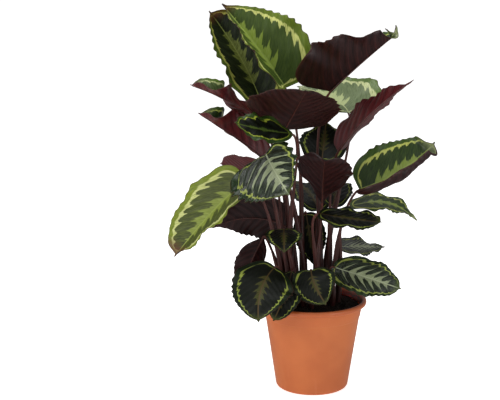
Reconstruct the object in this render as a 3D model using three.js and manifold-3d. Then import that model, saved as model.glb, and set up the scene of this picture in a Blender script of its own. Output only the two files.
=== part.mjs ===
// A potted calathea: a round plastic pot, a soil ball with a rootstock in it, and leaves that rise from
// the rootstock, each one a stalk and a blade. Millimetres, +Z up, -Y is the front.
// The origin is the middle of the pot's underside, where it rests.
import * as THREE from "three";
import Module from "manifold-3d";
import { mergeVertices } from "three/addons/utils/BufferGeometryUtils.js";

const wasm = await Module();
wasm.setup();

// Driving dimensions of the pot
const RIM_RADIUS = 95;
const POT_HEIGHT = 160;
const WALL = 2;
const TOP_RADIUS = 86.5; // outside of the wall just under the lip
const FOOT_RADIUS = 64; // outside of the wall at the bottom
const FOOT_ROUNDING = 7;
const LIP_HEIGHT = 10;
const SHELF_DROP = 30; // how far under the rim the wall steps in a little
const SHELF_STEP = 0.8;
const CHANNEL = { inner: 26, outer: 50, height: 3 }; // the raised ring that drains the underside
const DRAIN = { count: 8, radius: 4.5, circle: 38 };
const POT_SIDES = 48;

// The soil and the rootstock that sits in a socket in its top
const GAP = 0.3; // between two pieces that touch
const SOIL_TOP = 148;
const ROOTSTOCK = { radius: 58, foot: 38, depth: 45, rise: 5 };

// Leaves
const BLADE_THICKNESS = 1.2;
const BLADE_STEPS = { across: 6, along: 12 };
const STALK_STEPS = { around: 7, along: 9 };
const STALK_RADIUS = { foot: 4, top: 1.9 };
const USUAL_SHAPE = [0.72, 0.62, 0.85];
const USUAL_HEART = 0.3;

const PLASTIC = new THREE.MeshStandardMaterial({ color: 0xc5683c, roughness: 0.45, metalness: 0 });
const PEAT = new THREE.MeshStandardMaterial({ color: 0x1d1512, roughness: 1, metalness: 0 });
const STEM = new THREE.MeshStandardMaterial({ color: 0x5a2a26, roughness: 0.55, metalness: 0 });
const BLADE = new THREE.MeshStandardMaterial({ vertexColors: true, roughness: 0.4, metalness: 0 });
const BLADE_TOP = new THREE.Color(0x35592b);
const BLADE_UNDER = new THREE.Color(0x4a1f22);

// One entry for each leaf. foot: where the stalk leaves the rootstock (x, y). base, mid, tip: points on
// the blade's midrib. face and faceTip: the way its upper side faces at the base and at the tip; late: the
// shares of the length between which it turns from one to the other. width: one half of the blade, from
// midrib to edge; leftShare narrows the left one. right and left: how far each half is folded up from the
// face at the midrib, and how much more it curls up on its way to the edge, in degrees; flare: over 1, the
// curl comes nearer the edge. shape: under 1 first, the blade is widest nearer its base; the smaller the
// other two, the fuller its base end and its tip end. heart: how far the two shoulders reach back past the
// top of the stalk. lean and neck bend the stalk.
const LEAVES = [
  { name: "crown_left", foot: [-18, 14], base: [-50, 40, 526], mid: [-102, 50, 597],
    tip: [-162, 60, 669], face: [0.1, -0.9, 0.35], width: 84, right: [8, 5], left: [66, 8],
    shape: [0.68, 0.5, 0.8] },
  { name: "crown_far_left", foot: [-26, 30], base: [-93, 78, 492], mid: [-132, 95, 573],
    tip: [-188, 108, 653], face: [0.1, -0.9, 0.3], width: 66, right: [20, 10], left: [46, 8],
    shape: [0.75, 0.5, 0.42] },
  { name: "crown_right", foot: [14, 8], base: [26, 0, 526], mid: [78, -30, 579], tip: [141, -62, 637],
    face: [0, 0.68, 0.73], width: 88, right: [0, 10], left: [64, 10], shape: [0.6, 0.5, 0.85],
    heart: 0.5 },
  { name: "back_right_high", foot: [18, 26], base: [61, 60, 480], mid: [30, 125, 499],
    tip: [-32, 185, 509], face: [0.09, -0.31, 0.94], width: 84, right: [14, 5], left: [12, -6] },
  { name: "right_high", foot: [28, 8], base: [41, -15, 425], mid: [92, -40, 490], tip: [164, -60, 554],
    face: [-0.2, 0.9, 0.3], width: 50, right: [84, 5], left: [50, 5], shape: [0.65, 0.4, 0.85] },
  { name: "left_high", foot: [-37, -5], base: [-79, -10, 470], mid: [-144, -32, 513],
    tip: [-208, -55, 543], face: [0, 1, 0], faceTip: [0, -0.6, 0.8], late: [0.4, 0.72], width: 28,
    right: [45, 10], left: [64, 10], shape: [1, 0.7, 0.4] },
  { name: "front_high", foot: [-12, 3], base: [-50, -20, 463], mid: [-31, -80, 506],
    tip: [-13, -150, 547], face: [0.03, 0.55, 0.83], width: 80, right: [5, 10], left: [5, 10],
    shape: [0.8, 0.66, 0.66] },
  { name: "left_upper", foot: [-46, -6], base: [-78, -19, 406], mid: [-131, -39, 451],
    tip: [-195, -54, 495], face: [0, 0.7, 0.7], faceTip: [0, -0.6, 0.8], late: [0.6, 0.88], width: 46,
    right: [40, 10], left: [62, 10], shape: [0.9, 0.7, 0.5] },
  { name: "left_scalloped", foot: [-30, -15], base: [-36, -66, 464], mid: [-85, -94, 475],
    tip: [-130, -118, 490], face: [0, -0.7, 0.7], width: 36, leftShare: 0.7, right: [-6, 0],
    left: [-5, 0], shape: [0.85, 0.8, 0.5], lean: [-24, 3], neck: 0.09 },
  { name: "front_striped", foot: [-36, -22], base: [-81, -58, 427], mid: [-64, -103, 405],
    tip: [-40, -136, 373], face: [-0.25, -0.6, 0.75], width: 80, leftShare: 0.62, right: [0, -8],
    left: [26, 16], shape: [0.85, 0.6, 0.5], heart: 0.2 },
  { name: "left_big", foot: [-45, -16], base: [-116, -30, 375], mid: [-175, -42, 321],
    tip: [-236, -68, 249], face: [-0.45, -0.8, 0.4], width: 68, leftShare: 0.94, right: [0, -5],
    left: [35, 10], shape: [0.756, 0.45, 0.37], heart: 0.15 },
  { name: "inner_upper", foot: [4, 20], base: [14, 40, 399], mid: [18, 70, 430], tip: [21, 110, 456],
    face: [0, -0.8, 0.6], width: 44, right: [10, 0], left: [10, 0] },
  { name: "left_back", foot: [-42, 27], base: [-73, 22, 379], mid: [-119, 42, 378], tip: [-166, 61, 388],
    face: [0, 0.6, 0.8], width: 50, right: [10, 0], left: [10, 0], shape: [0.8, 0.5, 0.45] },
  { name: "left_middle", foot: [-27, 8], base: [-45, 9, 286], mid: [-110, 26, 298], tip: [-179, 32, 277],
    face: [0, 0.9, 0.3], width: 44, right: [5, -10], left: [15, 0] },
  { name: "left_low", foot: [-46, 12], base: [-88, 10, 267], mid: [-108, 18, 223], tip: [-129, 20, 170],
    face: [-0.3, 0.8, 0.1], width: 28, right: [10, 0], left: [10, 0], shape: [1.1, 0.9, 0.5] },
  { name: "rim_left", foot: [-32, -31], base: [-64, -70, 234], mid: [-87, -106, 203],
    tip: [-90, -124, 152], face: [-0.15, -0.85, 0.5], width: 53, right: [0, 0], left: [0, 0],
    shape: [0.82, 0.62, 0.62] },
  { name: "rim_left_inner", foot: [-15, -28], base: [-36, -45, 222], mid: [-47, -91, 190],
    tip: [-66, -107, 149], face: [0.1, -0.9, 0.4], width: 27, right: [0, 0], left: [0, 0],
    shape: [0.9, 0.8, 0.5], heart: 0 },
  { name: "rim_front", foot: [-2, -36], base: [-3, -55, 225], mid: [4, -78, 205], tip: [23, -84, 172],
    face: [-0.1, -0.85, 0.5], width: 39, right: [10, 0], left: [10, 0], shape: [0.82, 0.62, 0.62] },
  { name: "rim_right", foot: [34, -18], base: [35, -20, 222], mid: [95, -45, 210], tip: [151, -60, 195],
    face: [0.1, -0.6, 0.8], width: 39, right: [0, -10], left: [10, 0], shape: [0.85, 0.5, 0.5] },
  { name: "right_low", foot: [42, 16], base: [46, 44, 243], mid: [88, 54, 241], tip: [129, 62, 238],
    face: [0, -0.1, 1], width: 46, right: [0, 0], left: [0, 0] },
  { name: "right_middle", foot: [12, -16], base: [10, -45, 323], mid: [62, -60, 318],
    tip: [116, -70, 314], face: [0, -0.22, 0.97], width: 33, right: [0, -10], left: [5, 0],
    shape: [0.9, 0.5, 0.3] },
  { name: "right_outer", foot: [44, 4], base: [63, -5, 327], mid: [129, 0, 332], tip: [180, 0, 301],
    face: [0, -0.25, 1], width: 32, right: [0, 0], left: [5, 0] },
  { name: "right_big", foot: [32, -4], base: [78, -20, 360], mid: [142, -20, 391], tip: [208, -10, 440],
    face: [-0.3, -0.5, 0.8], width: 60, right: [12, 140], left: [26, 5], flare: 3.4,
    shape: [0.75, 0.42, 0.4] },
  { name: "front_middle", foot: [5, -6], base: [15, -5, 332], mid: [16, -45, 381], tip: [18, -95, 424],
    face: [0, 0.75, 0.65], width: 50, right: [25, 5], left: [5, 0], shape: [1.5, 0.75, 0.3] },
  { name: "front_small", foot: [-24, -22], base: [-50, -55, 297], mid: [-49, -88, 289],
    tip: [-48, -106, 268], face: [0, -0.6, 0.8], width: 32, right: [0, 0], left: [0, 0] },
  { name: "inner_hanging", foot: [-12, 46], base: [-13, 32, 306], mid: [-4, 35, 256], tip: [7, 38, 204],
    face: [0.1, -1, 0.1], width: 29, right: [10, 0], left: [10, 0], lean: [0, 3] },
  { name: "back_left", foot: [8, 40], base: [9, 60, 304], mid: [-9, 110, 328], tip: [-38, 172, 335],
    face: [0, -0.4, 0.9], width: 32, right: [5, 0], left: [5, 0] },
  { name: "back_right", foot: [22, 44], base: [34, 44, 315], mid: [42, 100, 340], tip: [46, 165, 340],
    face: [0.1, -0.2, 1], width: 30, right: [5, 0], left: [5, 0] },
];

const radians = THREE.MathUtils.degToRad;
const at = (list) => new THREE.Vector3(...list);

// Geometry that three.js made, as a manifold solid
function solid(geometry) {
  const bare = new THREE.BufferGeometry().setAttribute("position", geometry.getAttribute("position"));
  bare.setIndex(geometry.index);
  const merged = mergeVertices(bare, 1e-4);
  return new wasm.Manifold(new wasm.Mesh({
    numProp: 3,
    vertProperties: merged.attributes.position.array,
    triVerts: new Uint32Array(merged.index.array),
  }));
}

// A manifold solid as three.js geometry
function geometryOf(made) {
  const mesh = made.getMesh();
  const geometry = new THREE.BufferGeometry();
  geometry.setAttribute("position", new THREE.BufferAttribute(mesh.vertProperties, 3));
  geometry.setIndex(new THREE.BufferAttribute(mesh.triVerts, 1));
  geometry.computeVertexNormals();
  return geometry;
}

// A round body turned about the Z axis from [radius, height] pairs, bottom first
function turned(pairs, sides) {
  const profile = pairs.map(([radius, height]) => new THREE.Vector2(radius, height));
  return new THREE.LatheGeometry(profile, sides).rotateX(Math.PI / 2);
}

// Outside radius of the pot's wall at a height, without the step
function wallRadius(height) {
  const wallTop = POT_HEIGHT - LIP_HEIGHT;
  return FOOT_RADIUS + (TOP_RADIUS - FOOT_RADIUS) * (height - FOOT_ROUNDING) / (wallTop - FOOT_ROUNDING);
}

function potGeometry() {
  const wallTop = POT_HEIGHT - LIP_HEIGHT;
  const shelf = POT_HEIGHT - SHELF_DROP;
  const floor = CHANNEL.height + WALL;
  const outside = [
    [0, 0], [CHANNEL.inner, 0], [CHANNEL.inner + 2, CHANNEL.height], [CHANNEL.outer - 2, CHANNEL.height],
    [CHANNEL.outer, 0],
  ];
  for (const turn of [0, 22.5, 45, 67.5, 90]) {
    outside.push([
      FOOT_RADIUS - FOOT_ROUNDING + FOOT_ROUNDING * Math.sin(radians(turn)),
      FOOT_ROUNDING - FOOT_ROUNDING * Math.cos(radians(turn)),
    ]);
  }
  const lip = [
    [wallRadius(shelf), shelf], [wallRadius(shelf) + SHELF_STEP, shelf + 1],
    [TOP_RADIUS + SHELF_STEP, wallTop], [RIM_RADIUS - 2.5, wallTop + 1], [RIM_RADIUS - 0.5, wallTop + 3],
    [RIM_RADIUS, wallTop + 5.5], [RIM_RADIUS - 0.8, POT_HEIGHT - 1.5], [RIM_RADIUS - 3, POT_HEIGHT],
    [RIM_RADIUS - 5.5, POT_HEIGHT - 0.4], [RIM_RADIUS - 7, POT_HEIGHT - 2],
  ];
  const inside = [
    [TOP_RADIUS - WALL, wallTop], [FOOT_RADIUS - WALL, FOOT_ROUNDING + 4],
    [FOOT_RADIUS - FOOT_ROUNDING, floor], [0, floor],
  ];
  let pot = solid(turned([...outside, ...lip, ...inside], POT_SIDES));
  for (let i = 0; i < DRAIN.count; i++) {
    const angle = (i / DRAIN.count) * 2 * Math.PI;
    const drill = new THREE.CylinderGeometry(DRAIN.radius, DRAIN.radius, 4 * floor, 12).rotateX(Math.PI / 2);
    drill.translate(DRAIN.circle * Math.cos(angle), DRAIN.circle * Math.sin(angle), floor / 2);
    pot = pot.subtract(solid(drill));
  }
  return geometryOf(pot);
}

// The soil ball fills the pot to a little under the rim, with a socket for the rootstock
function soilGeometry() {
  const floor = CHANNEL.height + WALL + GAP;
  const clear = WALL + GAP + 0.4; // the flats of a faceted wall lie a little inside its radius
  const socketBottom = SOIL_TOP - ROOTSTOCK.depth;
  return turned([
    [0, floor], [FOOT_RADIUS - FOOT_ROUNDING - 1, floor], [FOOT_RADIUS - clear - 0.5, FOOT_ROUNDING + 6],
    [wallRadius(SOIL_TOP) - clear - 0.5, SOIL_TOP - 1.5], [wallRadius(SOIL_TOP) - clear - 3, SOIL_TOP],
    [ROOTSTOCK.radius + 8, SOIL_TOP + 1.5], [ROOTSTOCK.radius + GAP, SOIL_TOP + 1],
    [ROOTSTOCK.foot + GAP, socketBottom], [0, socketBottom],
  ], 36);
}

function rootstockTop(x, y) {
  return SOIL_TOP + ROOTSTOCK.rise * (1 - (x * x + y * y) / ROOTSTOCK.radius ** 2);
}

function rootstockGeometry() {
  const bottom = SOIL_TOP - ROOTSTOCK.depth + GAP;
  const steps = [1, 0.75, 0.5, 0.25, 0];
  const top = steps.map((share) => [share * (ROOTSTOCK.radius - 1), rootstockTop(share * ROOTSTOCK.radius, 0)]);
  return turned([[0, bottom], [ROOTSTOCK.foot - 1, bottom], ...top], 24);
}

// How wide the blade is along its length, as a share of its widest
function outline(leaf, along) {
  const [skew, baseFullness, tipFullness] = leaf.shape ?? USUAL_SHAPE;
  const run = Math.min(1, along / 0.97) ** skew;
  const body = Math.max(0, Math.sin(Math.PI * run)) ** (run < 0.5 ? baseFullness : tipFullness);
  const end = along > 0.5 ? 0.02 + 0.085 * Math.min(1, (1 - along) / 0.1) : 0.04;
  return (body ** 4 + end ** 4) ** 0.25;
}

// The midrib is the parabola through base, mid and tip
function midrib(leaf, along) {
  const [a, b, c] = [(1 - along) * (1 - 2 * along), 4 * along * (1 - along), along * (2 * along - 1)];
  return at(leaf.base).multiplyScalar(a).addScaledVector(at(leaf.mid), b).addScaledVector(at(leaf.tip), c);
}

// The way the upper side faces at a place along the midrib
function faceAt(leaf, along) {
  const [start, stop] = leaf.late ?? [0, 1];
  return at(leaf.face).lerp(at(leaf.faceTip ?? leaf.face), THREE.MathUtils.smoothstep(along, start, stop));
}

// A point of the blade. across runs from -1, the left edge, to 1, the right; lift is height off its middle
function bladePoint(leaf, across, along, lift) {
  const step = 0.01;
  const forward = midrib(leaf, along + step).sub(midrib(leaf, along - step)).normalize();
  const side = new THREE.Vector3().crossVectors(forward, faceAt(leaf, along)).normalize();
  const up = new THREE.Vector3().crossVectors(side, forward);
  // the fold opens out at the two ends, where the blade is hardly wider than it is thick
  const folded = Math.min(1, BLADE_STEPS.along * Math.min(along, 1 - along));
  const [fold, curl] = (across < 0 ? leaf.left : leaf.right).map((turn) => radians(turn) * folded);
  const share = Math.abs(across);
  const reach = share * leaf.width * (across < 0 ? leaf.leftShare ?? 1 : 1) * outline(leaf, along);
  const flare = leaf.flare ?? 1;
  // walk out from the midrib in short steps
  let [outward, upward] = [0, 0];
  for (let i = 0; i < 8; i++) {
    const angle = fold + curl * (share * (i + 0.5) / 8) ** flare;
    outward += Math.cos(angle) * reach / 8;
    upward += Math.sin(angle) * reach / 8;
  }
  const lean = share === 0 ? 0 : fold + curl * share ** flare;
  const shoulder = (leaf.heart ?? USUAL_HEART) * leaf.width;
  const back = shoulder * (share * outline(leaf, along)) ** 1.2 * Math.max(0, 1 - along / 0.3) ** 2;
  const way = Math.sign(across);
  return midrib(leaf, along)
    .addScaledVector(forward, -back)
    .addScaledVector(side, way * outward - way * lift * Math.sin(lean))
    .addScaledVector(up, upward + lift * Math.cos(lean));
}

// The blade is a flat box bent to the leaf's shape: x runs across, y along and z through it
function bladeGeometry(leaf) {
  const box = new THREE.BoxGeometry(2, 1, 1, BLADE_STEPS.across, BLADE_STEPS.along, 1);
  const place = box.getAttribute("position");
  const colours = [];
  for (let i = 0; i < place.count; i++) {
    const [across, along, through] = [place.getX(i), place.getY(i) + 0.5, place.getZ(i)];
    const moved = bladePoint(leaf, across, along, through * BLADE_THICKNESS);
    place.setXYZ(i, moved.x, moved.y, moved.z);
    colours.push(...(through > 0 ? BLADE_TOP : BLADE_UNDER).toArray());
  }
  box.setAttribute("color", new THREE.Float32BufferAttribute(colours, 3));
  // the underside is cut along the same diagonals as the top, so that the two stay apart in a twist
  const { start, count } = box.groups[5];
  for (let i = start; i < start + count; i += 6) {
    const [a, b, d, , c] = box.index.array.slice(i, i + 6);
    box.index.array.set([a, b, c, a, c, d], i);
  }
  box.computeVertexNormals();
  return box;
}

// The stalk's line: up out of the rootstock, then round to meet the blade
function stalkCurve(leaf) {
  const foot = at([...leaf.foot, rootstockTop(...leaf.foot) + 2 * GAP]);
  const entry = midrib(leaf, 0.02).sub(midrib(leaf, 0)).normalize();
  const end = at(leaf.base).addScaledVector(entry, -4 * GAP);
  const rise = end.z - foot.z;
  const lean = leaf.lean ?? [0, 0];
  const first = foot.clone().add(at([leaf.foot[0] * 0.25 + lean[0], leaf.foot[1] * 0.25 + lean[1], rise * 0.45]));
  const last = end.clone().addScaledVector(entry, -(leaf.neck ?? 0.16) * rise).add(at([0, 0, -0.1 * rise]));
  return new THREE.CubicBezierCurve3(foot, first, last, end);
}

// The stalk is a cylinder bent along that line: thick and sheathed at the foot, thin where the blade starts
function stalkGeometry(leaf) {
  const curve = stalkCurve(leaf);
  const frames = curve.computeFrenetFrames(STALK_STEPS.along);
  const tube = new THREE.CylinderGeometry(1, 1, 1, STALK_STEPS.around, STALK_STEPS.along);
  const place = tube.getAttribute("position");
  for (let i = 0; i < place.count; i++) {
    const along = place.getY(i) + 0.5;
    const step = Math.round(along * STALK_STEPS.along);
    const radius = THREE.MathUtils.lerp(STALK_RADIUS.foot, STALK_RADIUS.top, along ** 1.3);
    const moved = curve.getPointAt(along)
      .addScaledVector(frames.normals[step], radius * place.getX(i))
      .addScaledVector(frames.binormals[step], -radius * place.getZ(i));
    place.setXYZ(i, moved.x, moved.y, moved.z);
  }
  tube.computeVertexNormals();
  return tube;
}

function named(name, geometry, material) {
  const mesh = new THREE.Mesh(geometry, material);
  mesh.name = name;
  return mesh;
}

const plant = new THREE.Group();
plant.add(named("pot", potGeometry(), PLASTIC));
plant.add(named("soil_ball", soilGeometry(), PEAT));
plant.add(named("rootstock", rootstockGeometry(), PEAT));
for (const leaf of LEAVES) {
  plant.add(named("stalk_" + leaf.name, stalkGeometry(leaf), STEM));
  plant.add(named("blade_" + leaf.name, bladeGeometry(leaf), BLADE));
}

export default plant;
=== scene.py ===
import math
import random

import bmesh
import bpy
from mathutils import Matrix, Vector, noise


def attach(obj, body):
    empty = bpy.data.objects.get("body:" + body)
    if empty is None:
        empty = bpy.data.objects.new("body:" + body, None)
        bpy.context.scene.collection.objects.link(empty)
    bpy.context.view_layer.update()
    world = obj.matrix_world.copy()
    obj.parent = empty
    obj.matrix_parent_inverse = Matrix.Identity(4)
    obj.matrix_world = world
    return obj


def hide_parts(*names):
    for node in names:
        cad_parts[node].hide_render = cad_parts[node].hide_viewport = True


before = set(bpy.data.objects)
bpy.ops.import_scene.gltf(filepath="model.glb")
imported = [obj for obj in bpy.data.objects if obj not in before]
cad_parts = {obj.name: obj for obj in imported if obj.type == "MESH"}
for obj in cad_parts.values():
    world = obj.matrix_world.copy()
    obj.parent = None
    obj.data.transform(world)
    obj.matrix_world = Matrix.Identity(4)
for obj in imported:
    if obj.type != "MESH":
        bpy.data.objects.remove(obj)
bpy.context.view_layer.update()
mm = 0.001


# Camera: eye height and distance in metres, turns in degrees
view = dict(distance=2.4, height=0.85, down=12.1, left=2.63, lens=101.7)

cameraData = bpy.data.cameras.new("camera")
cameraData.lens = view["lens"]
cameraData.sensor_width = 36
camera = bpy.data.objects.new("camera", cameraData)
camera.location = (0, -view["distance"], view["height"])
camera.rotation_euler = (math.radians(90 - view["down"]), 0, math.radians(view["left"]))
bpy.context.collection.objects.link(camera)
bpy.context.scene.camera = camera


def colour(red, green, blue):
    # 0-255 as a painter would pick them, to the linear values that the shader takes
    return tuple((c / 255) ** 2.2 for c in (red, green, blue)) + (1.0,)


def feed(tree, socket, value):
    if isinstance(value, bpy.types.NodeSocket):
        tree.links.new(value, socket)
    else:
        socket.default_value = value


def add(tree, kind, inputs=None, **settings):
    made = tree.nodes.new(kind)
    for key, value in settings.items():
        setattr(made, key, value)
    for key, value in (inputs or {}).items():
        feed(tree, made.inputs[key], value)
    return made


def calc(tree, operation, *values):
    return add(tree, "ShaderNodeMath", dict(enumerate(values)), operation=operation).outputs[0]


def blend(tree, share, first, second):
    return add(tree, "ShaderNodeMix", {0: share, 6: first, 7: second}, data_type="RGBA").outputs[2]


# 0 under low, 1 over high, smooth in between
def rise(tree, value, low, high):
    inputs = {"Value": value, "From Min": low, "From Max": high}
    return add(tree, "ShaderNodeMapRange", inputs, interpolation_type="SMOOTHSTEP").outputs[0]


def speckle(tree, vector, scale, detail=2.0):
    inputs = {"Vector": vector, "Scale": scale, "Detail": detail}
    return add(tree, "ShaderNodeTexNoise", inputs).outputs["Fac"]


def stretched(tree, vector, x, y, z=1.0):
    return add(tree, "ShaderNodeMapping", {"Vector": vector, "Scale": (x, y, z)}).outputs[0]


def newMaterial(name):
    material = bpy.data.materials.new(name)
    material.use_nodes = True
    tree = material.node_tree
    return material, tree, tree.nodes["Principled BSDF"]


def bump(tree, shader, height, distance, strength=1.0):
    inputs = {"Height": height, "Distance": distance, "Strength": strength}
    feed(tree, shader.inputs["Normal"], add(tree, "ShaderNodeBump", inputs).outputs[0])


# Leaf tops. Shares run from 0 at the midrib to 1 at the edge. feathered and spikes are the pale middle,
# ringAt, ringWidth, ringTeeth and scallop the pale ring.
tops = {
    "bright": dict(inner=(58, 76, 30), innerLight=(78, 96, 40), feather=(134, 156, 54), ring=(212, 214, 128),
        margin=(108, 124, 34), marginDark=(84, 104, 30), rib=(150, 168, 84), feathered=0.1, spikes=0.26,
        ringAt=0.74, ringWidth=0.055, ringTeeth=0.1, scallop=0.03, rough=0.42, gloss=0.3, tip=(96, 58, 36)),
    # painted shade: this tone's inside is darker, standing in for the shade that crown_far_left lies in
    # behind crown_left
    "shadedOlive": dict(inner=(18, 24, 14), innerLight=(44, 54, 24), feather=(84, 92, 34), ring=(176, 178, 86),
        margin=(90, 108, 36), marginDark=(62, 82, 28), rib=(128, 138, 72), feathered=0.1, spikes=0.2,
        ringAt=0.74, ringWidth=0.06, ringTeeth=0.09, scallop=0.03, rough=0.5, gloss=0.2, tip=(96, 58, 36)),
    "mid": dict(inner=(34, 50, 24), innerLight=(58, 76, 34), feather=(122, 142, 52), ring=(188, 194, 100),
        margin=(70, 92, 36), marginDark=(46, 68, 28), rib=(138, 152, 80), feathered=0.1, spikes=0.24,
        ringAt=0.72, ringWidth=0.06, ringTeeth=0.08, scallop=0.03, rough=0.32),
    # painted highlight: this tone is paler all over, standing in for the glossy reflection of the top light
    # on the leaves that use it
    "pale": dict(inner=(76, 92, 54), innerLight=(118, 132, 92), feather=(160, 172, 116), ring=(198, 204, 148),
        margin=(96, 118, 52), marginDark=(76, 100, 44), rib=(176, 186, 132), feathered=0.1, spikes=0.2,
        ringAt=0.72, ringWidth=0.08, ringTeeth=0.08, scallop=0.03, rough=0.3),
    "dark": dict(inner=(11, 14, 10), innerLight=(22, 27, 16), feather=(52, 64, 24), ring=(138, 150, 66),
        margin=(26, 38, 18), marginDark=(17, 26, 13), rib=(76, 62, 38), feathered=0.06, spikes=0.2,
        ringAt=0.73, ringWidth=0.04, ringTeeth=0.03, scallop=0.06, rough=0.42, gloss=0.22, tip=(60, 66, 34)),
    "soft": dict(inner=(50, 58, 22), innerLight=(84, 92, 38), feather=(108, 120, 44), ring=(186, 190, 122),
        margin=(118, 130, 36), marginDark=(92, 106, 30), rib=(136, 148, 72), feathered=0.1, spikes=0.3,
        ringAt=0.72, ringWidth=0.07, ringTeeth=0.12, scallop=0.03, rough=0.42, gloss=0.3, tip=(92, 44, 34)),
    "scalloped": dict(inner=(9, 13, 9), innerLight=(20, 28, 14), feather=(44, 64, 22), ring=(156, 168, 58),
        margin=(54, 76, 28), marginDark=(34, 54, 20), rib=(70, 84, 36), feathered=0.04, spikes=0.1,
        ringAt=0.56, ringWidth=0.06, ringTeeth=0.02, scallop=0.14, rough=0.4, tip=(60, 76, 34)),
    # pale grey streaks and ribs: partly the leaf's own feathering, partly painted highlight standing in for
    # gloss on the pleats
    "striped": dict(inner=(10, 14, 11), innerLight=(62, 72, 56), feather=(118, 128, 92), ring=(150, 160, 78),
        margin=(36, 54, 24), marginDark=(24, 38, 18), rib=(160, 168, 136), feathered=0.06, spikes=0.66,
        ringAt=0.72, ringWidth=0.05, ringTeeth=0.02, scallop=0.09, rough=0.22, tip=(70, 82, 44)),
}


def makeTop(name, look):
    material, tree, shader = newMaterial("leaf_top_" + name)
    spread = add(tree, "ShaderNodeUVMap", uv_map="spread").outputs[0]
    veins = add(tree, "ShaderNodeUVMap", uv_map="veins").outputs[0]
    place = add(tree, "ShaderNodeSeparateXYZ", {0: spread}).outputs
    run = add(tree, "ShaderNodeSeparateXYZ", {0: veins}).outputs
    share = calc(tree, "ABSOLUTE", calc(tree, "MULTIPLY_ADD", place[0], 2.0, -1.0))
    along = place[1]
    # the two ends count as edge too, so that the ring closes
    ends = calc(tree, "POWER", calc(tree, "ABSOLUTE", calc(tree, "MULTIPLY_ADD", along, 2.0, -1.0)), 9.0)
    edge = calc(tree, "POWER", calc(tree, "ADD", calc(tree, "POWER", share, 2.5), ends), 0.4)
    wobble = calc(tree, "SUBTRACT", speckle(tree, stretched(tree, veins, 2.6, 4), 1.0), 0.5)
    fine = calc(tree, "SUBTRACT", speckle(tree, stretched(tree, veins, 13, 9), 1.0), 0.5)
    # one tall spike on each side vein and a short one on either side of it
    vein = calc(tree, "MULTIPLY_ADD", wobble, 0.5, run[0])
    middle = calc(tree, "ABSOLUTE", calc(tree, "MULTIPLY_ADD", calc(tree, "FRACT", vein), 2.0, -1.0))
    spike = calc(tree, "POWER", middle, 2.2)
    between = calc(tree, "MULTIPLY_ADD", fine, 0.6, calc(tree, "MULTIPLY", run[0], 4.0))
    small = calc(tree, "PINGPONG", between, 0.5)
    arch = calc(tree, "SINE", calc(tree, "MULTIPLY", calc(tree, "FRACT", vein), math.pi))
    body = calc(tree, "POWER", calc(tree, "SINE", calc(tree, "MULTIPLY", along, math.pi)), 0.7)

    dark = blend(tree, rise(tree, fine, -0.2, 0.25), colour(*look["inner"]), colour(*look["innerLight"]))
    # lighter lines along the side veins: partly the veins' own colour, partly painted sheen on them
    veinSheen = calc(tree, "MULTIPLY", rise(tree, middle, 0.9, 1.0), 0.55)
    dark = blend(tree, veinSheen, dark, colour(*look["innerLight"]))
    light = blend(tree, rise(tree, fine, -0.25, 0.3), colour(*look["feather"]), colour(*look["rib"]))
    featherEdge = calc(tree, "MULTIPLY_ADD", spike, look["spikes"], look["feathered"])
    featherEdge = calc(tree, "MULTIPLY_ADD", small, 0.1, featherEdge)
    featherEdge = calc(tree, "MULTIPLY", calc(tree, "MULTIPLY_ADD", wobble, 0.25, featherEdge), body)
    featherGap = calc(tree, "SUBTRACT", edge, featherEdge)
    inside = blend(tree, rise(tree, featherGap, -0.03, 0.03), light, dark)

    ringIn = calc(tree, "MULTIPLY_ADD", spike, -look["ringTeeth"], look["ringAt"])
    ringIn = calc(tree, "MULTIPLY_ADD", arch, look["scallop"], ringIn)
    ringIn = calc(tree, "MULTIPLY_ADD", wobble, 0.1, ringIn)
    ringIn = calc(tree, "MULTIPLY_ADD", small, -0.05, ringIn)
    ringOut = calc(tree, "MULTIPLY_ADD", arch, look["scallop"], look["ringAt"] + look["ringWidth"])
    ringOut = calc(tree, "MULTIPLY_ADD", wobble, 0.12, ringOut)
    rim = blend(tree, rise(tree, fine, -0.2, 0.2), colour(*look["margin"]), colour(*look["marginDark"]))
    pale = blend(tree, rise(tree, fine, -0.3, 0.05), colour(*look["margin"]), colour(*look["ring"]))
    outside = blend(tree, rise(tree, calc(tree, "SUBTRACT", edge, ringOut), -0.015, 0.02), pale, rim)
    face = blend(tree, rise(tree, calc(tree, "SUBTRACT", edge, ringIn), -0.012, 0.016), inside, outside)
    face = blend(tree, rise(tree, run[1], 0.007, 0.014), colour(*look["rib"]), face)
    ending = rise(tree, calc(tree, "MULTIPLY_ADD", wobble, 0.06, along), 0.86, 0.96)
    face = blend(tree, calc(tree, "MULTIPLY", ending, 0.8), face, colour(*look.get("tip", (150, 158, 120))))
    # a thin reddish edge
    face = blend(tree, calc(tree, "MULTIPLY", rise(tree, share, 0.965, 1.0), 0.5), face, colour(70, 40, 26))
    feed(tree, shader.inputs["Base Color"], face)
    shader.inputs["Roughness"].default_value = look["rough"]
    shader.inputs["Specular IOR Level"].default_value = look.get("gloss", 0.4)
    lines = calc(tree, "SINE", calc(tree, "MULTIPLY", run[0], 2 * math.pi * 7))
    grain = speckle(tree, stretched(tree, veins, 60, 60), 1.0)
    bump(tree, shader, calc(tree, "MULTIPLY_ADD", lines, 0.25, grain), 0.0003, 0.6)
    return material


unders = {
    "wine": dict(deep=(30, 15, 15), lit=(48, 23, 22), vein=(88, 42, 39), edge=(58, 30, 24), rough=0.42),
    # painted glow: this underside is brighter and redder, standing in for light shining through the leaves
    # that use it
    "red": dict(deep=(58, 20, 22), lit=(84, 32, 34), vein=(116, 54, 50), edge=(78, 42, 34), rough=0.4),
}


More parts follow.
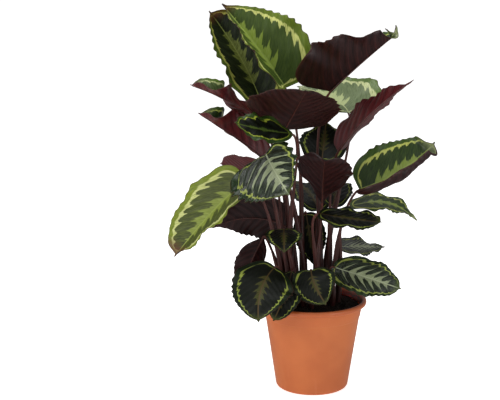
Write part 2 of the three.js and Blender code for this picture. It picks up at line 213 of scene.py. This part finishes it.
def makeUnder(name, look):
    material, tree, shader = newMaterial("leaf_under_" + name)
    spread = add(tree, "ShaderNodeUVMap", uv_map="spread").outputs[0]
    veins = add(tree, "ShaderNodeUVMap", uv_map="veins").outputs[0]
    place = add(tree, "ShaderNodeSeparateXYZ", {0: spread}).outputs
    run = add(tree, "ShaderNodeSeparateXYZ", {0: veins}).outputs
    share = calc(tree, "ABSOLUTE", calc(tree, "MULTIPLY_ADD", place[0], 2.0, -1.0))
    wobble = calc(tree, "SUBTRACT", speckle(tree, stretched(tree, veins, 1.2, 4), 1.0), 0.5)
    fine = speckle(tree, stretched(tree, veins, 6, 5), 1.0)
    vein = calc(tree, "MULTIPLY_ADD", wobble, 0.25, run[0])
    middle = calc(tree, "ABSOLUTE", calc(tree, "MULTIPLY_ADD", calc(tree, "FRACT", vein), 2.0, -1.0))
    base = blend(tree, rise(tree, fine, 0.35, 0.7), colour(*look["deep"]), colour(*look["lit"]))
    # painted highlight: a broad band round each side vein is lightened, standing in for light on the raised
    # ribs
    ribHighlight = calc(tree, "MULTIPLY", rise(tree, middle, 0.1, 0.8), 0.5)
    base = blend(tree, ribHighlight, base, colour(*look["lit"]))
    # lighter line on each vein: partly the vein's own colour, partly painted highlight on the rib
    line = calc(tree, "MULTIPLY", rise(tree, middle, 0.9, 1.0), calc(tree, "SUBTRACT", 1.0, share))
    base = blend(tree, calc(tree, "MULTIPLY", line, 0.5), base, colour(*look["vein"]))
    base = blend(tree, rise(tree, share, 0.93, 1.0), base, colour(*look["edge"]))
    feed(tree, shader.inputs["Base Color"], base)
    shader.inputs["Roughness"].default_value = look["rough"]
    shader.inputs["Specular IOR Level"].default_value = 0.4
    lines = calc(tree, "SINE", calc(tree, "MULTIPLY", run[0], 2 * math.pi * 6))
    bump(tree, shader, calc(tree, "MULTIPLY_ADD", lines, 0.2, fine), 0.0003, 0.5)
    return material


# One leaf each, in millimetres and degrees. foot is where the stalk stands on the rootstock; base, mid
# and tip are on the midrib. face, and faceTip at the far end, is the way the upper side looks, and late
# says between which shares of the length it turns over. width is one half of the blade, which leftShare
# narrows on the left. right and left say how far each half folds up at the midrib and how much it curls
# on from there; with a flare the curl comes near the edge. heart sets how far the shoulders reach back,
# hook bends and twists the far end, and lean and neck bend the stalk.
leaves = {
    "crown_left": dict(foot=(-18, 14), base=(-50, 40, 526), mid=(-102, 50, 597), tip=(-162, 60, 669),
        face=(0.1, -0.9, 0.35), width=84, right=(8, 5), left=(66, 8), shape=(0.68, 0.5, 0.8), ripple=(3, 3.6),
        tone="bright"),
    "crown_far_left": dict(foot=(-26, 30), base=(-93, 78, 492), mid=(-132, 95, 573), tip=(-188, 108, 653),
        face=(0.1, -0.9, 0.3), width=66, right=(20, 10), left=(46, 8), shape=(0.75, 0.5, 0.42), tone="shadedOlive"),
    "crown_right": dict(foot=(14, 8), base=(26, 0, 526), mid=(78, -30, 579), tip=(141, -62, 637),
        face=(0, 0.68, 0.73), width=88, right=(0, 10), left=(64, 10), shape=(0.6, 0.5, 0.85), heart=0.5,
        hook=(0.87, 45, 0, 165), ripple=(7, 3.8), tone="mid"),
    "back_right_high": dict(foot=(18, 26), base=(61, 60, 480), mid=(30, 125, 499), tip=(-32, 185, 509),
        face=(0.09, -0.31, 0.94), width=84, right=(14, 5), left=(12, -6), tone="pale"),
    "right_high": dict(foot=(28, 8), base=(41, -15, 425), mid=(92, -40, 490), tip=(164, -60, 554),
        face=(-0.2, 0.9, 0.3), width=50, right=(84, 5), left=(50, 5), shape=(0.65, 0.4, 0.85), ripple=(4, 3),
        under="red", tone="mid"),
    "left_high": dict(foot=(-37, -5), base=(-79, -10, 470), mid=(-144, -32, 513), tip=(-208, -55, 543),
        face=(0, 1, 0), faceTip=(0, -0.6, 0.8), late=(0.4, 0.72), width=28, right=(45, 10), left=(64, 10),
        shape=(1, 0.7, 0.4), ripple=(4, 3.5), under="red", tone="pale"),
    "front_high": dict(foot=(-12, 3), base=(-50, -20, 463), mid=(-31, -80, 506), tip=(-13, -150, 547),
        face=(0.03, 0.55, 0.83), width=80, right=(5, 10), left=(5, 10), shape=(0.8, 0.66, 0.66), tone="mid"),
    "left_upper": dict(foot=(-46, -6), base=(-78, -19, 406), mid=(-131, -39, 451), tip=(-195, -54, 495),
        face=(0, 0.7, 0.7), faceTip=(0, -0.6, 0.8), late=(0.6, 0.88), width=46, right=(40, 10), left=(62, 10),
        shape=(0.9, 0.7, 0.5), under="red", tone="mid"),
    "left_scalloped": dict(foot=(-30, -15), base=(-36, -66, 464), mid=(-85, -94, 475), tip=(-130, -118, 490),
        face=(0, -0.7, 0.7), width=36, leftShare=0.7, right=(-6, 0), left=(-5, 0), shape=(0.85, 0.8, 0.5),
        veins=4.5, lobes=0.07, lean=(-24, 3), tone="scalloped", neck=0.09),
    "front_striped": dict(foot=(-36, -22), base=(-81, -58, 427), mid=(-64, -103, 405), tip=(-40, -136, 373),
        face=(-0.25, -0.6, 0.75), width=80, leftShare=0.62, right=(0, -8), left=(26, 16),
        shape=(0.85, 0.6, 0.5), heart=0.2, veins=6, pleat=0.22, lobes=0.06, tone="striped"),
    "left_big": dict(foot=(-45, -16), base=(-116, -30, 375), mid=(-175, -42, 321), tip=(-236, -68, 249),
        face=(-0.45, -0.8, 0.4), width=68, leftShare=0.94, right=(0, -5), left=(35, 10),
        shape=(0.756, 0.45, 0.37), heart=0.15, tone="soft"),
    "inner_upper": dict(foot=(4, 20), base=(14, 40, 399), mid=(18, 70, 430), tip=(21, 110, 456),
        face=(0, -0.8, 0.6), width=44, right=(10, 0), left=(10, 0), tone="dark"),
    "left_back": dict(foot=(-42, 27), base=(-73, 22, 379), mid=(-119, 42, 378), tip=(-166, 61, 388),
        face=(0, 0.6, 0.8), width=50, right=(10, 0), left=(10, 0), shape=(0.8, 0.5, 0.45), ripple=(1.5, 1.5),
        under="red", tone="mid"),
    "left_middle": dict(foot=(-27, 8), base=(-45, 9, 286), mid=(-110, 26, 298), tip=(-179, 32, 277),
        face=(0, 0.9, 0.3), width=44, right=(5, -10), left=(15, 0), tone="mid"),
    "left_low": dict(foot=(-46, 12), base=(-88, 10, 267), mid=(-108, 18, 223), tip=(-129, 20, 170),
        face=(-0.3, 0.8, 0.1), width=28, right=(10, 0), left=(10, 0), shape=(1.1, 0.9, 0.5), tone="dark"),
    "rim_left": dict(foot=(-32, -31), base=(-64, -70, 234), mid=(-87, -106, 203), tip=(-90, -124, 152),
        face=(-0.15, -0.85, 0.5), width=53, right=(0, 0), left=(0, 0), shape=(0.82, 0.62, 0.62), tone="dark"),
    "rim_left_inner": dict(foot=(-15, -28), base=(-36, -45, 222), mid=(-47, -91, 190), tip=(-66, -107, 149),
        face=(0.1, -0.9, 0.4), width=27, right=(0, 0), left=(0, 0), shape=(0.9, 0.8, 0.5), heart=0,
        tone="dark"),
    "rim_front": dict(foot=(-2, -36), base=(-3, -55, 225), mid=(4, -78, 205), tip=(23, -84, 172),
        face=(-0.1, -0.85, 0.5), width=39, right=(10, 0), left=(10, 0), shape=(0.82, 0.62, 0.62),
        tone="dark"),
    "rim_right": dict(foot=(34, -18), base=(35, -20, 222), mid=(95, -45, 210), tip=(151, -60, 195),
        face=(0.1, -0.6, 0.8), width=39, right=(0, -10), left=(10, 0), shape=(0.85, 0.5, 0.5), veins=8,
        tone="striped"),
    "right_low": dict(foot=(42, 16), base=(46, 44, 243), mid=(88, 54, 241), tip=(129, 62, 238),
        face=(0, -0.1, 1), width=46, right=(0, 0), left=(0, 0), tone="striped"),
    "right_middle": dict(foot=(12, -16), base=(10, -45, 323), mid=(62, -60, 318), tip=(116, -70, 314),
        face=(0, -0.22, 0.97), width=33, right=(0, -10), left=(5, 0), shape=(0.9, 0.5, 0.3), tone="dark"),
    "right_outer": dict(foot=(44, 4), base=(63, -5, 327), mid=(129, 0, 332), tip=(180, 0, 301),
        face=(0, -0.25, 1), width=32, right=(0, 0), left=(5, 0), tone="mid"),
    "right_big": dict(foot=(32, -4), base=(78, -20, 360), mid=(142, -20, 391), tip=(208, -10, 440),
        face=(-0.3, -0.5, 0.8), width=60, right=(12, 140), left=(26, 5), shape=(0.75, 0.42, 0.4),
        hook=(0.88, 20, -10, 60), tone="mid", flare=3.4),
    "front_middle": dict(foot=(5, -6), base=(15, -5, 332), mid=(16, -45, 381), tip=(18, -95, 424),
        face=(0, 0.75, 0.65), width=50, right=(25, 5), left=(5, 0), shape=(1.5, 0.75, 0.3), tone="mid"),
    "front_small": dict(foot=(-24, -22), base=(-50, -55, 297), mid=(-49, -88, 289), tip=(-48, -106, 268),
        face=(0, -0.6, 0.8), width=32, right=(0, 0), left=(0, 0), tone="dark"),
    "inner_hanging": dict(foot=(-12, 46), base=(-13, 32, 306), mid=(-4, 35, 256), tip=(7, 38, 204),
        face=(0.1, -1, 0.1), width=29, right=(10, 0), left=(10, 0), lean=(0, 3), tone="dark"),
    "back_left": dict(foot=(8, 40), base=(9, 60, 304), mid=(-9, 110, 328), tip=(-38, 172, 335),
        face=(0, -0.4, 0.9), width=32, right=(5, 0), left=(5, 0), tone="dark"),
    "back_right": dict(foot=(22, 44), base=(34, 44, 315), mid=(42, 100, 340), tip=(46, 165, 340),
        face=(0.1, -0.2, 1), width=30, right=(5, 0), left=(5, 0), tone="dark"),
}

# How every blade is cut and rippled; a leaf's own "ripple", "roll" and so on replace these
blade = dict(shape=(0.72, 0.62, 0.85), across=44, along=92, thickness=0.5, veins=8.5, veinSlope=0.62,
    veinBend=0.55, pleat=0.085, lobes=0.03, ripple=(3.4, 2.8), roll=(0.86, 60), point=(0.1, 0.085),
    heart=0.3)
leafTurns = {name: index for index, name in enumerate(leaves)}


def outline(leaf, along):
    skew, baseFullness, tipFullness = leaf.get("shape", blade["shape"])
    run = min(1.0, along / 0.97) ** skew
    body = max(0.0, math.sin(math.pi * run)) ** (baseFullness if run < 0.5 else tipFullness)
    reach, width = leaf.get("point", blade["point"])
    end = 0.02 + width * min(1.0, (1 - along) / reach) if along > 0.5 else 0.04
    return (body ** 4 + end ** 4) ** 0.25


def midrib(leaf, along):
    a, b, c = (1 - along) * (1 - 2 * along), 4 * along * (1 - along), along * (2 * along - 1)
    return Vector(leaf["base"]) * a + Vector(leaf["mid"]) * b + Vector(leaf["tip"]) * c


def midribLength(leaf):
    points = [midrib(leaf, i / 20) for i in range(21)]
    return sum((b - a).length for a, b in zip(points, points[1:]))


# A place on the midrib, and the directions forward, sideways and up there
def plainFrame(leaf, along):
    forward = (midrib(leaf, along + 0.01) - midrib(leaf, along - 0.01)).normalized()
    start, stop = leaf.get("late", (0, 1))
    share = min(1.0, max(0.0, (along - start) / (stop - start)))
    share = share * share * (3 - 2 * share)
    face = Vector(leaf["face"]).lerp(Vector(leaf.get("faceTip", leaf["face"])), share)
    side = forward.cross(face).normalized()
    return midrib(leaf, along), forward, side, side.cross(forward)


# The same, with the far end bent up (or down), swung sideways and twisted where the leaf has a hook
def bladeFrame(leaf, along):
    point, forward, side, up = plainFrame(leaf, along)
    start, bend, swing, twist = leaf.get("hook", (1, 0, 0, 0))
    if along > start:
        share = (along - start) / (1 - start)
        root, _, sideways, upwards = plainFrame(leaf, start)
        turn = Matrix.Rotation(math.radians(bend) * share, 3, sideways)
        turn = Matrix.Rotation(math.radians(swing) * share, 3, upwards) @ turn
        point = root + turn @ (point - root)
        forward, side, up = turn @ forward, turn @ side, turn @ up
        turn = Matrix.Rotation(math.radians(twist) * min(1.0, share * 2), 3, forward)
        side, up = turn @ side, turn @ up
    return point, forward, side, up


# Which side vein a spot lies on: a whole number on each vein
def veinAt(leaf, length, distance, along):
    run = along * length - blade["veinSlope"] * distance - blade["veinBend"] * distance ** 2 / leaf["width"]
    return run / length * leaf.get("veins", blade["veins"])


# From the midrib to the edge, here; the left half may be narrower
def halfWidth(leaf, across, along):
    return leaf["width"] * (leaf.get("leftShare", 1) if across < 0 else 1) * outline(leaf, along)


def bladePoint(leaf, turn, length, across, along):
    share = abs(across)
    way = -1 if across < 0 else 1
    fullWidth = halfWidth(leaf, across, along)
    reach = share * fullWidth
    vein = veinAt(leaf, length, reach, along)
    edgeVein = veinAt(leaf, length, fullWidth, along)
    body = math.sin(math.pi * along) ** 0.5
    chance = noise.noise(Vector((along * 5, turn * 3.7 + way * 0.9, 0)))
    reach *= 1 + share ** 4 * body * (leaf.get("lobes", blade["lobes"]) * math.cos(2 * math.pi * edgeVein)
        + 0.05 * chance)
    fold, curl = (math.radians(v) for v in leaf["left" if across < 0 else "right"])
    start, rolled = leaf.get("roll", blade["roll"])
    curl += math.radians(rolled) * max(0.0, (along - start) / (1 - start)) ** 1.5
    # walk out from the midrib in short steps; with a flare the curl comes late, near the edge
    flare = leaf.get("flare", 1)
    outward = upward = 0.0
    for step in range(8 if share else 0):
        angle = fold + curl * (share * (step + 0.5) / 8) ** flare
        outward += math.cos(angle) * reach / 8
        upward += math.sin(angle) * reach / 8
    end = fold + curl * share ** flare
    height, waves = leaf.get("ripple", blade["ripple"])
    wave = math.sin(2 * math.pi * waves * along + 1.7 * turn + 2.1 * way) + 1.2 * chance
    lift = height * share ** 2.5 * body * wave
    pleat = leaf.get("pleat", blade["pleat"]) * length / leaf.get("veins", blade["veins"])
    spread = min(1.0, share * 3.5) * (0.45 + 0.55 * share)
    ridge = 1 - 2 * abs(math.cos(math.pi * vein)) ** 1.4
    lift += 0.5 * pleat * ridge * spread * body
    # the midrib lies in a shallow furrow
    lift -= 0.9 * math.exp(-(reach / 2.6) ** 2) * body
    point, forward, side, up = bladeFrame(leaf, along)
    lean = end if share else 0.0
    # the blade's two shoulders reach back past the top of the stalk
    wide = share * outline(leaf, along)
    back = leaf.get("heart", blade["heart"]) * leaf["width"] * wide ** 1.2 * max(0.0, 1 - along / 0.3) ** 2
    return (point - forward * back + side * way * (outward - lift * math.sin(lean))
        + up * (upward + lift * math.cos(lean)))


def newPiece(name, work, materials, smooth=True):
    mesh = bpy.data.meshes.new(name)
    work.to_mesh(mesh)
    work.free()
    for material in materials:
        mesh.materials.append(material)
    if smooth:
        mesh.shade_smooth()
    made = bpy.data.objects.new(name, mesh)
    bpy.context.collection.objects.link(made)
    return made


def makeBlade(name, leaf):
    turn = leafTurns[name]
    length = midribLength(leaf)
    work = bmesh.new()
    bmesh.ops.create_grid(work, x_segments=blade["across"], y_segments=blade["along"], size=1)
    spread = work.loops.layers.uv.new("spread")
    veins = work.loops.layers.uv.new("veins")
    for face in work.faces:
        centre = face.calc_center_median()
        for loop in face.loops:
            across, along = loop.vert.co.x, (loop.vert.co.y + 1) / 2
            distance = abs(across) * halfWidth(leaf, across, along)
            loop[spread].uv = ((across + 1) / 2, along)
            loop[veins].uv = (veinAt(leaf, length, distance, along), distance / 100)
    for vert in work.verts:
        vert.co = bladePoint(leaf, turn, length, vert.co.x, (vert.co.y + 1) / 2) * mm
    skins = [topMaterials[leaf["tone"]], underMaterials[leaf.get("under", "wine")]]
    piece = newPiece("leaf_" + name, work, skins)
    thick = piece.modifiers.new("thickness", "SOLIDIFY")
    thick.thickness = blade["thickness"] * mm
    thick.offset = -1
    thick.material_offset = 1
    thick.material_offset_rim = 1
    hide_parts("blade_" + name)
    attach(piece, "root")


topMaterials = {name: makeTop(name, look) for name, look in tops.items()}
underMaterials = {name: makeUnder(name, look) for name, look in unders.items()}
for name, leaf in leaves.items():
    makeBlade(name, leaf)
print("blades made:", len(leaves))


# Stalks: each runs up from the rootstock and on along the underside of its blade as the midrib
stalk = dict(foot=5.0, neck=2.1, ribEnd=0.35, sides=12, steps=34, ribSteps=22, sheath=0.42,
    low=(64, 30, 26), high=(92, 46, 38), rib=(80, 42, 35), rough=0.42)
soil = dict(profile=[(0, 5.6), (56, 5.6), (61, 13), (82.8, 146)], top=148.5, step=2, socket=57.5, sides=160,
    rough=1.6, crumbs=1500, crumbSizes=(0.8, 2.6), dark=(20, 16, 13), light=(46, 36, 28))
rootstock = dict(radius=57, spread=58, foot=38, bottom=103, clear=0.5, edge=148, rise=6, rough=1.2, sides=96)


def rootstockTop(x, y):
    return rootstock["edge"] + rootstock["rise"] * (1 - (x * x + y * y) / rootstock["spread"] ** 2)


def makeStalkMaterial():
    material, tree, shader = newMaterial("stalk_skin")
    share = add(tree, "ShaderNodeUVMap", uv_map="length").outputs[0]
    along = add(tree, "ShaderNodeSeparateXYZ", {0: share}).outputs
    where = add(tree, "ShaderNodeTexCoord").outputs["Object"]
    streaks = speckle(tree, stretched(tree, where, 420, 420, 14), 1.0)
    body = blend(tree, rise(tree, along[1], 0.1, 0.9), colour(*stalk["low"]), colour(*stalk["high"]))
    body = blend(tree, rise(tree, along[1], 0.98, 1.05), body, colour(*stalk["rib"]))
    shade = blend(tree, rise(tree, streaks, 0.3, 0.7), colour(30, 18, 15), body)
    body = blend(tree, 0.6, body, shade)
    feed(tree, shader.inputs["Base Color"], body)
    shader.inputs["Roughness"].default_value = stalk["rough"]
    bump(tree, shader, streaks, 0.0006, 0.7)
    return material


# The line of the stalk, then the line of the rib, as points with a radius and a share of the length
def stalkLine(leaf):
    footX, footY = leaf["foot"]
    foot = Vector((footX, footY, rootstockTop(footX, footY) + 0.6))
    base = Vector(leaf["base"])
    entry = (midrib(leaf, 0.02) - midrib(leaf, 0)).normalized()
    end = base - entry * 1.2
    climb = end.z - foot.z
    leanX, leanY = leaf.get("lean", (0, 0))
    first = foot + Vector((footX * 0.25 + leanX, footY * 0.25 + leanY, climb * 0.45))
    last = end - entry * leaf.get("neck", 0.16) * climb - Vector((0, 0, 0.1 * climb))
    points = []
    for step in range(stalk["steps"] + 1):
        t = step / stalk["steps"]
        point = foot * (1 - t) ** 3 + first * 3 * t * (1 - t) ** 2 + last * 3 * t * t * (1 - t) + end * t ** 3
        # the lower part is wrapped in its own sheath, which ends in a shoulder
        bare = min(1.0, max(0.0, (t - stalk["sheath"]) / 0.16))
        radius = stalk["foot"] * (1 - 0.35 * t) * (1 - bare) + stalk["neck"] * (1.15 - 0.15 * t) * bare
        points.append((point, radius, t))
    points.insert(0, (foot - Vector((0, 0, 7)), stalk["foot"], 0.0))
    for step in range(1, stalk["ribSteps"] + 1):
        t = step / stalk["ribSteps"] * 0.97
        spot, _, _, up = bladeFrame(leaf, t)
        radius = stalk["neck"] * 0.9 + (stalk["ribEnd"] - stalk["neck"] * 0.9) * t ** 0.6
        points.append((spot - up * (1.2 + radius * 0.85), radius, 1 + t))
    # ease the corner where the stalk meets the blade
    knee = stalk["steps"] + 1
    for _ in range(2):
        for i in range(knee - 2, knee + 2):
            blended = (points[i - 1][0] + points[i][0] * 2 + points[i + 1][0]) / 4
            points[i] = (blended, points[i][1], points[i][2])
    return points


def sweep(work, points, sides, layer=None):
    rings = []
    normal = Vector((1, 0, 0))
    for i, (point, radius, share) in enumerate(points):
        before, after = points[max(0, i - 1)][0], points[min(len(points) - 1, i + 1)][0]
        forward = (after - before).normalized()
        normal = (normal - forward * normal.dot(forward)).normalized()
        turn = Matrix((normal, forward.cross(normal), forward)).transposed().to_4x4()
        ring = bmesh.ops.create_circle(work, cap_ends=False, segments=sides, radius=radius * mm,
            matrix=Matrix.Translation(point * mm) @ turn)
        rings.append(ring["verts"])
    for low, high, start, end in zip(rings, rings[1:], points, points[1:]):
        edges = [e for e in {e for v in low + high for e in v.link_edges}
            if (e.verts[0] in low and e.verts[1] in low) or (e.verts[0] in high and e.verts[1] in high)]
        made = bmesh.ops.bridge_loops(work, edges=edges)
        if layer:
            lowest = set(low)
            for face in made["faces"]:
                for loop in face.loops:
                    loop[layer].uv = (0.5, start[2] if loop.vert in lowest else end[2])
    for ring in (rings[0], rings[-1]):
        bmesh.ops.contextual_create(work, geom=ring)


def makeStalk(name, leaf):
    work = bmesh.new()
    layer = work.loops.layers.uv.new("length")
    sweep(work, stalkLine(leaf), stalk["sides"], layer)
    bmesh.ops.recalc_face_normals(work, faces=work.faces)
    piece = newPiece("petiole_" + name, work, [stalkMaterial])
    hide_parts("stalk_" + name)
    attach(piece, "root")


stalkMaterial = makeStalkMaterial()
for name, leaf in leaves.items():
    makeStalk(name, leaf)
print("stalks made:", len(leaves))


# The pot's profile in millimetres, radius and height, from the middle of the underside round to the inside
pot = dict(sides=144, profile=[(0, 0), (26, 0), (28, 3), (48, 3), (50, 0), (57, 0), (59.7, 0.5), (62, 2.1),
    (63.4, 4.3), (64, 7), (82.8, 129.6), (83.3, 130.2), (84, 131), (87.2, 149.4), (87.8, 150.2), (92.3, 151),
    (94.2, 152.4), (95, 155), (94.7, 157.4), (93.4, 159.2), (91.4, 160), (89.4, 159.7), (88.2, 158.2),
    (87.2, 155), (84.6, 149.6), (83.8, 146), (62, 11), (57, 5), (0, 5)],
    holes=8, holeRadius=4.5, holeCircle=38, body=(184, 98, 50), bodyDeep=(174, 89, 43),
    lip=(150, 74, 40), rough=0.38)


def turnedShape(profile, sides):
    work = bmesh.new()
    verts = [work.verts.new((radius * mm, 0, height * mm)) for radius, height in profile]
    edges = [work.edges.new(pair) for pair in zip(verts, verts[1:])]
    bmesh.ops.spin(work, geom=verts + edges, axis=(0, 0, 1), cent=(0, 0, 0), angle=2 * math.pi, steps=sides,
        use_merge=True)
    bmesh.ops.remove_doubles(work, verts=work.verts, dist=1e-6)
    bmesh.ops.recalc_face_normals(work, faces=work.faces)
    return work


def makePotMaterial():
    material, tree, shader = newMaterial("pot_plastic")
    where = add(tree, "ShaderNodeTexCoord").outputs["Object"]
    cloud = speckle(tree, where, 14, 3)
    fine = speckle(tree, where, 900, 2)
    streak = speckle(tree, stretched(tree, where, 60, 60, 4), 1.0, 3)
    body = blend(tree, rise(tree, cloud, 0.35, 0.7), colour(*pot["body"]), colour(*pot["bodyDeep"]))
    faint = calc(tree, "MULTIPLY", rise(tree, streak, 0.62, 0.72), 0.12)
    body = blend(tree, faint, body, colour(206, 130, 88))
    axes = add(tree, "ShaderNodeSeparateXYZ", {0: where}).outputs
    squares = calc(tree, "ADD", calc(tree, "POWER", axes[0], 2.0), calc(tree, "POWER", axes[1], 2.0))
    radius = calc(tree, "SQRT", squares)
    # painted shade: the inside wall just over the soil is darkened to the soil's dark colour, standing in for
    # the shadow inside the pot
    limit = calc(tree, "MULTIPLY_ADD", rise(tree, axes[2], 0.1515, 0.1525), 0.0018, 0.0866)
    above = calc(tree, "GREATER_THAN", axes[2], 0.1468)
    inside = calc(tree, "MULTIPLY", calc(tree, "LESS_THAN", radius, limit), above)
    height = calc(tree, "MULTIPLY_ADD", cloud, -0.008, axes[2])
    paintedInnerShade = calc(tree, "MULTIPLY", inside, rise(tree, height, 0.1545, 0.1495))
    body = blend(tree, calc(tree, "MULTIPLY", paintedInnerShade, 0.92), body, colour(*soil["dark"]))
    # the lip is a little darker than the wall
    outside = calc(tree, "GREATER_THAN", radius, 0.0884)
    lip = calc(tree, "MULTIPLY", rise(tree, axes[2], 0.1495, 0.152), outside)
    body = blend(tree, calc(tree, "MULTIPLY", lip, 0.45), body, colour(*pot["lip"]))
    feed(tree, shader.inputs["Base Color"], body)
    rough = calc(tree, "MULTIPLY_ADD", cloud, 0.14, pot["rough"] - 0.07)
    feed(tree, shader.inputs["Roughness"], rough)
    shader.inputs["Subsurface Weight"].default_value = 0.05
    bump(tree, shader, calc(tree, "MULTIPLY_ADD", streak, 0.6, fine), 0.00025, 0.5)
    return material


def makePot():
    piece = newPiece("plastic_pot", turnedShape(pot["profile"], pot["sides"]), [makePotMaterial()])
    drills = bmesh.new()
    for i in range(pot["holes"]):
        angle = 2 * math.pi * i / pot["holes"]
        spot = Vector((math.cos(angle), math.sin(angle), 0)) * pot["holeCircle"] * mm
        place = Matrix.Translation(spot + Vector((0, 0, 0.004)))
        radius = pot["holeRadius"] * mm
        bmesh.ops.create_cone(drills, cap_ends=True, segments=24, radius1=radius, radius2=radius, depth=0.02,
            matrix=place)
    cutter = newPiece("drills", drills, [])
    cut = piece.modifiers.new("drain holes", "BOOLEAN")
    cut.object = cutter
    cut.solver = "EXACT"
    whole = piece.evaluated_get(bpy.context.evaluated_depsgraph_get())
    piece.data = bpy.data.meshes.new_from_object(whole)
    piece.modifiers.clear()
    bpy.data.objects.remove(cutter)
    piece.data.name = piece.name
    edges = piece.modifiers.new("edges", "WEIGHTED_NORMAL")
    edges.keep_sharp = True
    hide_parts("pot")
    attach(piece, "root")


makePot()
print("pot made")


def makePeatMaterial():
    material, tree, shader = newMaterial("peat")
    where = add(tree, "ShaderNodeTexCoord").outputs["Object"]
    lumps = speckle(tree, where, 260, 4)
    fibres = speckle(tree, stretched(tree, where, 900, 200, 500), 1.0, 3)
    body = blend(tree, rise(tree, lumps, 0.35, 0.7), colour(*soil["dark"]), colour(*soil["light"]))
    body = blend(tree, rise(tree, fibres, 0.66, 0.74), body, colour(92, 70, 50))
    feed(tree, shader.inputs["Base Color"], body)
    shader.inputs["Roughness"].default_value = 0.95
    shader.inputs["Specular IOR Level"].default_value = 0.2
    bump(tree, shader, lumps, 0.002, 1.0)
    return material


def roughen(work, low, amount):
    for vert in work.verts:
        if vert.co.z > low * mm:
            vert.co.z += (noise.noise(vert.co * 150) + 0.6 * noise.noise(vert.co * 420)) * amount * mm


def crumbsOn(work, count, smallest, largest, height):
    chance = random.Random(7)
    for _ in range(count):
        angle, radius = chance.uniform(0, 2 * math.pi), 82 * math.sqrt(chance.uniform(0.02, 1))
        size = chance.uniform(smallest, largest) * (0.6 if chance.random() < 0.7 else 1)
        x, y = radius * math.cos(angle), radius * math.sin(angle)
        place = Matrix.Translation(Vector((x, y, height(x, y) + size * 0.3)) * mm)
        turn = Matrix.Rotation(chance.uniform(0, math.pi), 4, Vector((chance.random(), chance.random(), 1)))
        shape = Matrix.Diagonal((size, size * chance.uniform(0.5, 0.9), size * chance.uniform(0.4, 0.8), 1))
        bmesh.ops.create_icosphere(work, subdivisions=1, radius=mm, matrix=place @ turn @ shape)


def groundTop(x, y):
    away = math.hypot(x, y)
    return rootstockTop(x, y) if away < rootstock["spread"] else soil["top"]


def makeSoil():
    peat = makePeatMaterial()
    wide, high = soil["profile"][-1]
    across = [(wide - soil["step"] * i, soil["top"] + (0.8 if i > 2 else 0)) for i in range(1, 13)]
    socket = [(soil["socket"], high), (rootstock["foot"], rootstock["bottom"]), (0, rootstock["bottom"])]
    work = turnedShape(soil["profile"] + across + socket, soil["sides"])
    roughen(work, high + 1, soil["rough"])
    crumbsOn(work, soil["crumbs"], *soil["crumbSizes"], groundTop)
    piece = newPiece("peat_soil", work, [peat], smooth=False)
    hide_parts("soil_ball")
    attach(piece, "root")
    steps = 24
    radii = [rootstock["radius"] * (1 - i / steps) for i in range(steps + 1)]
    bottom = rootstock["bottom"] + rootstock["clear"]
    foot = [(0, bottom), (rootstock["foot"] - 2 * rootstock["clear"], bottom)]
    work = turnedShape(foot + [(radius, rootstockTop(radius, 0)) for radius in radii], rootstock["sides"])
    roughen(work, high + 1, rootstock["rough"])
    piece = newPiece("root_mound", work, [peat])
    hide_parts("rootstock")
    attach(piece, "root")


makeSoil()
print("soil made")


# Floor and soft light
studio = dict(floor=(246, 246, 245), ribHighlight=0.8, sky=0.3, key=38, fill=20, top=40)

work = bmesh.new()
bmesh.ops.create_grid(work, x_segments=1, y_segments=1, size=40)
floorMaterial, floorTree, floorShader = newMaterial("floor_paper")
floorShader.inputs["Base Color"].default_value = colour(*studio["floor"])
floorShader.inputs["Roughness"].default_value = 0.9
floorShader.inputs["Emission Color"].default_value = (1, 1, 1, 1)
floorShader.inputs["Emission Strength"].default_value = studio["ribHighlight"]
floor = newPiece("floor", work, [floorMaterial], smooth=False)
floor.location.z = -0.0002
floor.visible_glossy = False

world = bpy.data.worlds.new("studio")
bpy.context.scene.world = world
world.use_nodes = True
world.node_tree.nodes["Background"].inputs["Color"].default_value = (1, 1, 1, 1)
world.node_tree.nodes["Background"].inputs["Strength"].default_value = studio["sky"]


def softLight(name, place, aim, size, power):
    data = bpy.data.lights.new(name, "AREA")
    data.shape = "RECTANGLE"
    data.size, data.size_y = size
    data.energy = power
    light = bpy.data.objects.new(name, data)
    light.location = place
    light.rotation_euler = (Vector(aim) - Vector(place)).to_track_quat("-Z", "Y").to_euler()
    bpy.context.collection.objects.link(light)


softLight("key", (-2.3, -1.9, 1.2), (0, 0, 0.35), (1.2, 1.6), studio["key"])
softLight("fill", (2.3, -1.9, 1.0), (0, 0, 0.3), (1.2, 1.6), studio["fill"])
softLight("top", (-0.3, 0.1, 2.6), (0, 0, 0.4), (1.8, 1.8), studio["top"])
bpy.context.scene.view_settings.view_transform = "Standard"
print("studio set")
